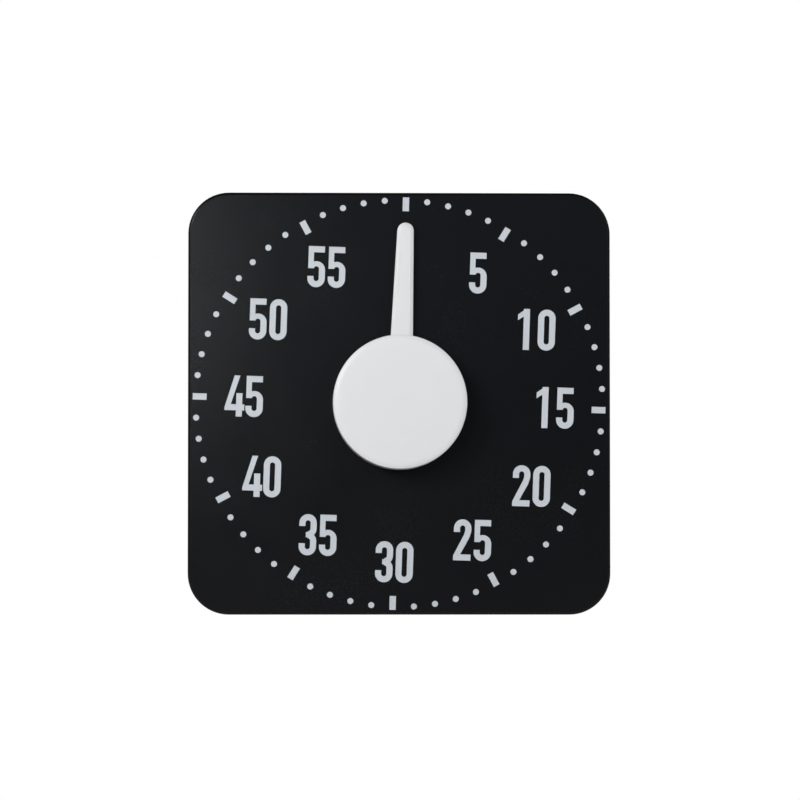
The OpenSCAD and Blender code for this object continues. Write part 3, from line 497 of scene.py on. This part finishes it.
@dataclass(frozen=True)
class BluedSpring(Finish):
    """Tempered spring strip: dark steel with a drifting blue and straw heat tint."""

    name: str
    steel: Colour
    blue: Colour
    straw: Colour
    depth: float = 0.008 * MM

    def write(self, tree: Tree, shader: bpy.types.Node, where: Socket) -> None:
        """The tint drifts along the strip, and fine lines run over it."""
        drift = tree.noise(where, 160.0)
        tint = tree.mix(tree.ramp(drift, 0.35, 0.6, 0.0, 1.0), self.steel, self.blue)
        tint = tree.mix(tree.ramp(drift, 0.62, 0.74, 0.0, 0.6), tint, self.straw)
        lines = tree.place(Effect.BRUSHED, Vector=where, Scale=9000.0, Stretch=0.1)["Lines"]
        tree.feed(shader.inputs["Base Color"], tint)
        shader.inputs["Metallic"].default_value = 1.0
        tree.feed(shader.inputs["Roughness"], tree.ramp(lines, *NOISE_SPAN, 0.24, 0.4))
        _bump(tree, shader, lines, self.depth)


@dataclass(frozen=True)
class SinteredFerrite(Finish):
    """Pressed magnet material: matt grey with fine pits, chipped edges, and glints painted into its
    colour.
    """

    name: str
    colour: Colour
    # the lighter colour of the painted glints on the grains and the chipped edges
    bright: Colour
    depth: float = 0.03 * MM

    def write(self, tree: Tree, shader: bpy.types.Node, where: Socket) -> None:
        """Pits change its gloss and height; single cells and the chipped edges get a lighter colour as
        painted glints.
        """
        pits = tree.noise(where, 2600.0, 6.0)
        cells = tree.add("TexVoronoi", {"feature": "F1"}, Vector=where, Scale=4200.0)
        # painted glints: the colour is lighter at the middle of each cell; the chipped edges, which are
        # real wear, take the same painted glint colour
        painted_glints = tree.ramp(cells.outputs["Distance"], 0.0, 0.14, 0.5, 0.0)
        chips_and_edge_glints = tree.place(Effect.EDGES, Vector=where, Radius=0.4 * MM, Strength=0.8)["Mask"]
        glint_and_chip_share = tree.math("MAXIMUM", painted_glints, chips_and_edge_glints)
        tree.feed(shader.inputs["Base Color"], tree.mix(glint_and_chip_share, self.colour, self.bright))
        tree.feed(shader.inputs["Roughness"], tree.ramp(pits, *NOISE_SPAN, 0.5, 0.72))
        _bump(tree, shader, pits, self.depth)


@dataclass(frozen=True)
class StudioGround(Finish):
    """White studio floor and wall: white to the camera, and plain pale matt to everything else."""

    name: str
    colour: Colour
    mottled: Colour
    # the share of the real surface that shows, and the strength of the white over it
    shadow: float
    white: float

    def write(self, tree: Tree, shader: bpy.types.Node, where: Socket) -> None:
        """The pale surface drifts a little in tone, without any gloss."""
        mottle = tree.ramp(tree.noise(where, 3.0, 2.0), *NOISE_SPAN, 0.0, 0.03)
        tree.feed(shader.inputs["Base Color"], tree.mix(mottle, self.colour, self.mottled))
        shader.inputs["Roughness"].default_value = 0.9
        shader.inputs["Specular IOR Level"].default_value = 0.0

    def surface(self, tree: Tree, shader: bpy.types.Node) -> Socket:
        """Camera, mirror and glass rays see white with a share of the real surface and its shadow."""
        ray = tree.add("LightPath", {}).outputs
        seen = tree.math("MAXIMUM", ray["Is Camera Ray"], ray["Is Glossy Ray"])
        seen = tree.math("MAXIMUM", seen, ray["Is Transmission Ray"])
        white = tree.add("Emission", {}, Strength=self.white).outputs[0]
        mix = tree.add("MixShader", {})
        tree.feed(mix.inputs[0], tree.math("MULTIPLY", seen, 1 - self.shadow))
        tree.feed(mix.inputs[1], shader.outputs[0])
        tree.feed(mix.inputs[2], white)
        return mix.outputs[0]


BLACK_SHELL = MouldedPlastic(
    "black case plastic", colour=(0.0042, 0.0044, 0.0054), worn=(0.016, 0.017, 0.018),
    roughness=0.26, grain=0.34 * MM, depth=0.012 * MM, tone=0.10, gloss=0.11)
BLACK_REAR = MouldedPlastic(
    "black textured plastic", colour=(0.0055, 0.0058, 0.0066), worn=(0.018, 0.019, 0.02),
    roughness=0.46, grain=0.6 * MM, depth=0.04 * MM, tone=0.12, gloss=0.35)
BLACK_LEG = MouldedPlastic(
    "black stand plastic", colour=(0.0045, 0.0047, 0.0052), worn=(0.018, 0.019, 0.02),
    roughness=0.42, grain=0.28 * MM, depth=0.018 * MM, tone=0.10, gloss=0.25)
GREY_KNOB = MouldedPlastic(
    "light grey knob plastic", colour=(0.78, 0.78, 0.79), worn=(0.86, 0.86, 0.865),
    roughness=0.40, grain=0.4 * MM, depth=0.01 * MM, tone=0.012)
PALE_INK = PrintedInk("pale print ink", (0.60, 0.635, 0.68), (0.42, 0.45, 0.49), 0.55)
PLATE_STEEL = Metal("brushed plate steel", (0.62, 0.62, 0.63), (0.44, 0.44, 0.45), 0.34, Pattern.BRUSHED)
ZINC = Metal("zinc-plated screws", (0.66, 0.67, 0.70), (0.46, 0.47, 0.50), 0.30, Pattern.TUMBLED)
PIN_STEEL = Metal("polished steel", (0.60, 0.60, 0.61), (0.42, 0.42, 0.43), 0.22, Pattern.TUMBLED)
SPRING_BLUE = BluedSpring(
    "blued spring steel", steel=(0.20, 0.22, 0.27), blue=(0.07, 0.11, 0.27), straw=(0.45, 0.32, 0.16))
# the magnet's grey, and the lighter colour of its painted glints
FERRITE = SinteredFerrite("sintered magnet", (0.035, 0.035, 0.038), (0.16, 0.16, 0.17))
STUDIO_WHITE = StudioGround(
    "white studio ground", colour=(0.62, 0.62, 0.62), mottled=(0.55, 0.55, 0.55),
    shadow=0.08, white=1.075)


def brass(centre: Point = (0.0, 0.0, 0.0), pattern: Pattern = Pattern.TURNED) -> Metal:
    """Returns lacquered brass, its rings centred on an axis parallel to Y.

    Args:
        centre: A point of the axis.
        pattern: How the piece was worked.
    """
    label = f"brass {pattern.value} {centre[0] / MM:.0f} {centre[2] / MM:.0f}"
    return Metal(label, (0.74, 0.55, 0.25), (0.50, 0.35, 0.15), 0.27, pattern, centre)


def turned_steel(centre: Point) -> Metal:
    """Returns turned steel, its rings centred on an axis parallel to Y.

    Args:
        centre: A point of the axis.
    """
    label = f"turned steel {centre[0] / MM:.0f} {centre[2] / MM:.0f}"
    return Metal(label, (0.58, 0.58, 0.59), (0.40, 0.40, 0.41), 0.25, Pattern.TURNED, centre)


def nickel(centre: Point) -> Metal:
    """Returns nickel plate, its rings centred on an axis parallel to Y.

    Args:
        centre: A point of the axis.
    """
    bright, dull = (0.72, 0.71, 0.68), (0.55, 0.54, 0.51)
    return Metal("nickel-plated bell", bright, dull, 0.18, Pattern.TURNED, centre)


def middle(node: str) -> Point:
    """Returns the middle of a model node's box.

    Args:
        node: The node's name.
    """
    low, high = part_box(node)
    return tuple((low + high) / 2)


# ---- surfaces ----


def dial_frame(points: np.ndarray, turn: float = 0.0) -> np.ndarray:
    """Places points drawn on the dial (X right, Y up, Z towards the viewer) in the model's frame.

    The points are first turned clockwise about the dial's axis: x' = x cos + y sin, y' = y cos - x sin.

    Args:
        points: An array of points, in millimetres.
        turn: The clockwise turn, in degrees.

    Returns:
        The points in metres, as rows.
    """
    flat = points.reshape(-1, 3)
    c, s = math.cos(math.radians(turn)), math.sin(math.radians(turn))
    x, y, z = flat[:, 0] * c + flat[:, 1] * s, flat[:, 1] * c - flat[:, 0] * s, flat[:, 2]
    return np.stack([x * MM, DIAL_Y - z * MM, AXIS_Z + y * MM], axis=1)


def grid_faces(rows: int, columns: int, loop: bool) -> np.ndarray:
    """Quads of a grid whose columns close into a ring.

    Args:
        rows: The number of rows of points.
        columns: The number of points in a row.
        loop: Whether the last row joins the first.

    Returns:
        Rows of four point numbers.
    """
    row = np.arange(rows if loop else rows - 1)[:, None]
    column = np.arange(columns)[None, :]
    beside = (column + 1) % columns
    here, above = row * columns, (row + 1) % rows * columns
    quads = np.stack([here + column, here + beside, above + beside, above + column], axis=-1)
    return quads.reshape(-1, 4)


def mesh_piece(name: str, shells: list[Shell]) -> bpy.types.Object:
    """Makes one piece of closed shells, merged, smooth over soft bends and facing outwards.

    Args:
        name: The piece's name.
        shells: The shells.

    Returns:
        The new object, at the origin.
    """
    points, faces, offset = [], [], 0
    for shell_points, shell_faces in shells:
        points.append(shell_points)
        faces.append(shell_faces + offset)
        offset += len(shell_points)
    mesh = bpy.data.meshes.new(name)
    mesh.from_pydata(np.concatenate(points).tolist(), [], np.concatenate(faces).tolist())
    piece = bpy.data.objects.new(name, mesh)
    bpy.context.scene.collection.objects.link(piece)
    bpy.ops.object.select_all(action="DESELECT")
    bpy.context.view_layer.objects.active = piece
    piece.select_set(True)
    bpy.ops.object.mode_set(mode="EDIT")
    bpy.ops.mesh.select_all(action="SELECT")
    bpy.ops.mesh.remove_doubles(threshold=MERGE_WITHIN)
    bpy.ops.mesh.dissolve_degenerate(threshold=DISSOLVE_WITHIN)
    bpy.ops.mesh.normals_make_consistent(inside=False)
    bpy.ops.object.mode_set(mode="OBJECT")
    bpy.ops.object.shade_auto_smooth(angle=SMOOTH_UP_TO)
    return piece


def revolve(profile: np.ndarray, around: int = 160) -> Shell:
    """Turns a closed profile about the dial's axis.

    A point (r, z) of the profile goes to (r cos a, r sin a, z) for a from 0 to a full turn.

    Args:
        profile: The closed profile's radius and height, in millimetres, as rows.
        around: The number of points around.

    Returns:
        The shell.
    """
    angle = np.linspace(0, 2 * math.pi, around, endpoint=False)
    radius, height = profile[:, :1], profile[:, 1:]
    grid = np.stack([radius * np.cos(angle), radius * np.sin(angle), height + 0 * angle], axis=-1)
    return dial_frame(grid), grid_faces(len(profile), around, loop=True)


def fillet(corners: np.ndarray, radii: np.ndarray, steps: int = 8) -> np.ndarray:
    """Rounds the corners of a closed profile.

    Each corner becomes an arc that leaves both its sides at r / tan(half the corner's angle),
    drawn as a quadratic curve between the two points through the corner.

    Args:
        corners: The corners, as rows of two numbers.
        radii: The radius of each corner.
        steps: The number of points of an arc.

    Returns:
        The rounded profile, as rows of two numbers.
    """
    before, after = np.roll(corners, 1, axis=0) - corners, np.roll(corners, -1, axis=0) - corners
    one = before / np.linalg.norm(before, axis=1, keepdims=True)
    two = after / np.linalg.norm(after, axis=1, keepdims=True)
    half = np.arccos(np.clip((one * two).sum(axis=1), -1, 1)) / 2
    reach = (radii / np.tan(half))[:, None]
    start, end = (corners + one * reach)[:, None], (corners + two * reach)[:, None]
    t = np.linspace(0, 1, steps)[None, :, None]
    arcs = start * (1 - t) ** 2 + corners[:, None] * 2 * t * (1 - t) + end * t ** 2
    return arcs.reshape(-1, 2)


# ---- sub-assemblies ----


@dataclass
class CaseShell:
    """Front and rear halves of the case, their screws and the magnets."""

    def build(self) -> None:
        """Dresses the halves as textured plastic, and what they carry."""
        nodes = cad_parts
        BLACK_SHELL.dress(nodes["front_case"])
        BLACK_REAR.dress(nodes["rear_case"])
        ZINC.dress(nodes["case_screws"])
        FERRITE.dress(nodes["magnets"])
        LOG.info("case: two halves, screws and magnets dressed")


@dataclass
class DialPrint:
    """Minute marks and numbers printed on the dial."""

    def build(self) -> None:
        """Dresses the marks and numbers as pale ink."""
        PALE_INK.dress(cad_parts["minute_marks"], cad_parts["numbers"])
        LOG.info("dial: marks and numbers dressed")


@dataclass
class Knob:
    """Round knob, its brass insert and the pointer, with a smooth blade in place of the faceted one.

    Lengths are millimetres on the dial. The turn is in degrees, clockwise.
    """

    pointer_turn: float = 2.0
    # how high the pointer lies over the dial, its thickness, and its bevel's inset and drop
    gap: float = 1.0
    height: float = 4.0
    bevel: tuple[float, float] = (1.4, 0.6)
    # the inner and outer radius of the ring under the knob
    hub: tuple[float, float] = (4.6, 12.0)
    # the two circles that the blade spans: the place on its middle line, and the radius
    root: tuple[float, float] = (10.0, 5.22)
    tip: tuple[float, float] = (73.4, 3.5)

    def flank(self) -> np.ndarray:
        """Returns the blade's section: out along its foot, up its side, over its bevel and in again.

        The rows hold the inset from the blade's edge and the height. Both ends have an inset of
        more than any radius, which closes the shell on the blade's middle line.
        """
        beyond, steps = 99.0, 9
        inset, drop = self.bevel
        foot = [(beyond, 0.0), (0.0, 0.0)]
        side = [(0.0, self.height - drop), (inset, self.height), (beyond, self.height)]
        radii = np.array([0.0, 0.2, 0.35, 0.25, 0.0])
        rounded = fillet(np.array(foot + side), radii, steps)
        return rounded[steps - 1:1 - steps]

    def outline(
        self, side_steps: int = 60, arc_steps: int = 40
    ) -> tuple[np.ndarray, np.ndarray, np.ndarray]:
        """Runs once around the blade: its right side, the tip, its left side and the root.

        The blade is the hull of two circles on its middle line. Its sides leave the circles at
        the angle whose sine is the difference of the radii over the distance of the centres.

        Args:
            side_steps: The number of points on a side.
            arc_steps: The number of points round an end.

        Returns:
            For each step, the place on the middle line, the radius there, and the outward angle.
        """
        (y0, r0), (y1, r1) = self.root, self.tip
        lean = math.asin((r0 - r1) / (y1 - y0))
        left = math.pi - lean
        side, arc = np.linspace(0, 1, side_steps), np.linspace(0, 1, arc_steps + 2)[1:-1]
        place = np.concatenate([side, 1 + 0 * arc, side[::-1], 0 * arc])
        over_tip, under_root = (math.pi - 2 * lean) * arc, (math.pi + 2 * lean) * arc
        angle = np.concatenate([lean + 0 * side, lean + over_tip, left + 0 * side, left + under_root])
        return y0 + (y1 - y0) * place, r0 + (r1 - r0) * place, angle

    def blade(self) -> Shell:
        """Returns the blade's shell.

        A point is the middle line's place plus the outward direction times the radius less the
        inset, which stops at 0, at the section's height.
        """
        place, radius, angle = self.outline()
        section = self.flank()
        reach = np.maximum(radius[None, :] - section[:, :1], 0.0)
        height = self.gap + section[:, 1:] + 0 * angle
        grid = np.stack([reach * np.cos(angle), place + reach * np.sin(angle), height], axis=-1)
        return dial_frame(grid, self.pointer_turn), grid_faces(len(section), len(place), loop=False)

    def ring(self) -> Shell:
        """Returns the shell of the ring under the knob that carries the blade."""
        low, high = self.gap, self.gap + self.height
        inner, outer = self.hub
        corners = np.array([(inner, low), (outer, low), (outer, high), (inner, high)])
        return revolve(fillet(corners, np.array([0.2, 0.3, 0.3, 0.2]), steps=5))

    def build(self) -> None:
        """Makes the pointer and dresses the knob and its insert."""
        pointer = mesh_piece("pointer_blade", [self.blade(), self.ring()])
        GREY_KNOB.dress(pointer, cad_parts["knob_cap"])
        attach(pointer, "knob")
        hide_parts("pointer")
        brass().dress(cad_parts["knob_insert"])
        LOG.info("knob: cap and insert dressed, pointer made")


@dataclass
class Stand:
    """Folding leg at the back and its pin."""

    def build(self) -> None:
        """Dresses the leg as plastic and the pin as steel."""
        BLACK_LEG.dress(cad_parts["stand_leg"])
        PIN_STEEL.dress(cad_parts["stand_pin"])
        LOG.info("stand: leg and pin dressed")


@dataclass
class Movement:
    """Plates, wheels, arbors, ratchet and springs behind the dial."""

    plates: tuple[str, ...] = ("front_plate", "back_plate", "balance_cock")
    fasteners: tuple[str, ...] = ("mount_screws", "pillar_nuts", "cock_screws", "click_screw")
    turned: tuple[str, ...] = (
        "main_arbor", "second_arbor", "third_arbor", "escape_arbor", "balance_staff", "hammer_arbor")
    wheels: tuple[str, ...] = (
        "great_wheel", "second_wheel", "third_wheel", "escape_wheel", "balance_wheel",
        "hairspring_collet", "cam", "arbor_bush")
    plain: tuple[str, ...] = (
        "ratchet_wheel", "click", "pallet_anchor", "stop_arm", "stop_pin", "spring_post")
    springs: tuple[str, ...] = ("click_spring", "mainspring", "hairspring")

    def build(self) -> None:
        """Dresses each node by how the real one is made."""
        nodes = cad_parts
        PLATE_STEEL.dress(*(nodes[n] for n in self.plates))
        ZINC.dress(*(nodes[n] for n in self.fasteners))
        PIN_STEEL.dress(*(nodes[n] for n in self.plain))
        SPRING_BLUE.dress(*(nodes[n] for n in self.springs))
        for name in self.turned:
            turned_steel(middle(name)).dress(nodes[name])
        for name in self.wheels:
            brass(middle(name)).dress(nodes[name])
        brass(pattern=Pattern.TUMBLED).dress(nodes["plate_pillars"], nodes["hairspring_stud"])
        LOG.info("movement: plates, train, ratchet and springs dressed")


@dataclass
class Striker:
    """Hammer and bell."""

    def build(self) -> None:
        """Dresses the hammer as steel and brass, and the bell as nickel plate."""
        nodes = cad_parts
        PIN_STEEL.dress(nodes["hammer_arm"], nodes["hammer_tail"], nodes["bell_post"])
        brass(middle("hammer_head")).dress(nodes["hammer_head"])
        SPRING_BLUE.dress(nodes["hammer_spring"])
        x, _, z = middle("bell")
        nickel((x, 0.0, z)).dress(nodes["bell"])
        ZINC.dress(nodes["bell_screw"])
        LOG.info("striker: hammer and bell dressed")


@dataclass(frozen=True)
class Lamp:
    """A soft square lamp that faces the dial, with its side in metres and its power in watts."""

    name: str
    place: Point
    size: float
    power: float
    colour: Colour = WHITE

    def hang(self) -> None:
        """Puts the lamp in the scene."""
        light = bpy.data.lights.new(self.name, "AREA")
        light.size = self.size
        light.energy = self.power
        light.color = self.colour
        lamp = bpy.data.objects.new(self.name, light)
        lamp.location = self.place
        target = Vector((0.0, DIAL_Y, AXIS_Z))
        lamp.rotation_euler = (target - lamp.location).to_track_quat("-Z", "Y").to_euler()
        bpy.context.scene.collection.objects.link(lamp)


@dataclass
class Studio:
    """White ground, soft lamps and the camera in front of the dial."""

    eye: Point = (-0.05, -2.0, 0.006)
    aim: Point = (0.0003, DIAL_Y, 0.0914)
    # the width that the camera sees at the dial, and its sensor's in millimetres
    view_width: float = 0.3409
    sensor: float = 36.0
    # the strength of the sky's light
    sky: float = 0.09
    # the ground: half its width, its front and back, its bend's radius and its wall's height
    half_width: float = 3.0
    front: float = -0.85
    back: float = 3.0
    bend: float = 0.8
    wall: float = 4.0
    lamps: tuple[Lamp, ...] = (
        Lamp("key", place=(-0.72, -1.15, 0.56), size=0.3, power=10.3, colour=WARM_WHITE),
        Lamp("sheen", place=(-0.187, -0.72, 0.192), size=0.128, power=0.86, colour=(0.92, 0.96, 1.0)),
        Lamp("panel", place=(0.188, -1.13, 0.433), size=0.6, power=0.7, colour=(0.65, 0.8, 1.0)),
        Lamp("fill", place=(0.95, -1.05, 0.5), size=0.8, power=3.6, colour=WARM_WHITE),
        Lamp("rear", place=(0.9, 1.1, 0.8), size=0.8, power=12.0))

    def ground(self) -> None:
        """Makes a floor that curves up into a wall.

        The section runs flat from the front, turns a quarter circle and goes straight up.
        """
        angle = np.linspace(0, math.pi / 2, 24)
        curve_y = self.back - self.bend + self.bend * np.sin(angle)
        curve_z = self.bend - self.bend * np.cos(angle)
        y = np.concatenate([[self.front], curve_y, [self.back]])
        z = np.concatenate([[0.0], curve_z, [self.wall]])
        x = self.half_width + 0 * y
        points = np.concatenate([np.stack([-x, y, z], axis=1), np.stack([x, y, z], axis=1)])
        low = np.arange(len(y) - 1)
        across = low + len(y)
        faces = np.stack([low, across, across + 1, low + 1], axis=1)
        mesh = bpy.data.meshes.new("studio_ground")
        mesh.from_pydata(points.tolist(), [], faces.tolist())
        ground = bpy.data.objects.new("studio_ground", mesh)
        bpy.context.scene.collection.objects.link(ground)
        STUDIO_WHITE.dress(ground)

    def world(self) -> None:
        """Fills the shadows with a dim even sky, which is white to the camera and through glass."""
        world = bpy.data.worlds.new("studio")
        world.use_nodes = True
        tree = Tree(world.node_tree)
        ray = tree.add("LightPath", {}).outputs
        seen = tree.math("MAXIMUM", ray["Is Camera Ray"], ray["Is Transmission Ray"])
        strength = tree.ramp(seen, 0.0, 1.0, self.sky, 1.0)
        sky = tree.add("Background", {}, Color=WHITE, Strength=strength)
        tree.feed(tree.add("OutputWorld", {}).inputs["Surface"], sky.outputs[0])
        bpy.context.scene.world = world

    def camera(self) -> None:
        """Sets a long lens close to the floor, a little left, that looks at the dial's middle."""
        eye, aim = Vector(self.eye), Vector(self.aim)
        lens = bpy.data.cameras.new("camera")
        lens.sensor_width = self.sensor
        lens.lens = self.sensor * (aim - eye).length / self.view_width
        camera = bpy.data.objects.new("camera", lens)
        camera.location = eye
        camera.rotation_euler = (aim - eye).to_track_quat("-Z", "Y").to_euler()
        bpy.context.scene.collection.objects.link(camera)
        bpy.context.scene.camera = camera

    def build(self) -> None:
        """Sets the ground, the lamps, the world and the camera."""
        self.ground()
        for lamp in self.lamps:
            lamp.hang()
        self.world()
        self.camera()
        bpy.context.scene.view_settings.view_transform = "Standard"
        LOG.info("studio: ground, lamps and camera set")


def main() -> None:
    """Builds the sub-assemblies in order."""
    logging.basicConfig(level=logging.INFO, format="%(name)s %(message)s")
    for assembly in (Studio(), CaseShell(), DialPrint(), Knob(), Stand(), Movement(), Striker()):
        assembly.build()


if __name__ == "__main__":
    main()
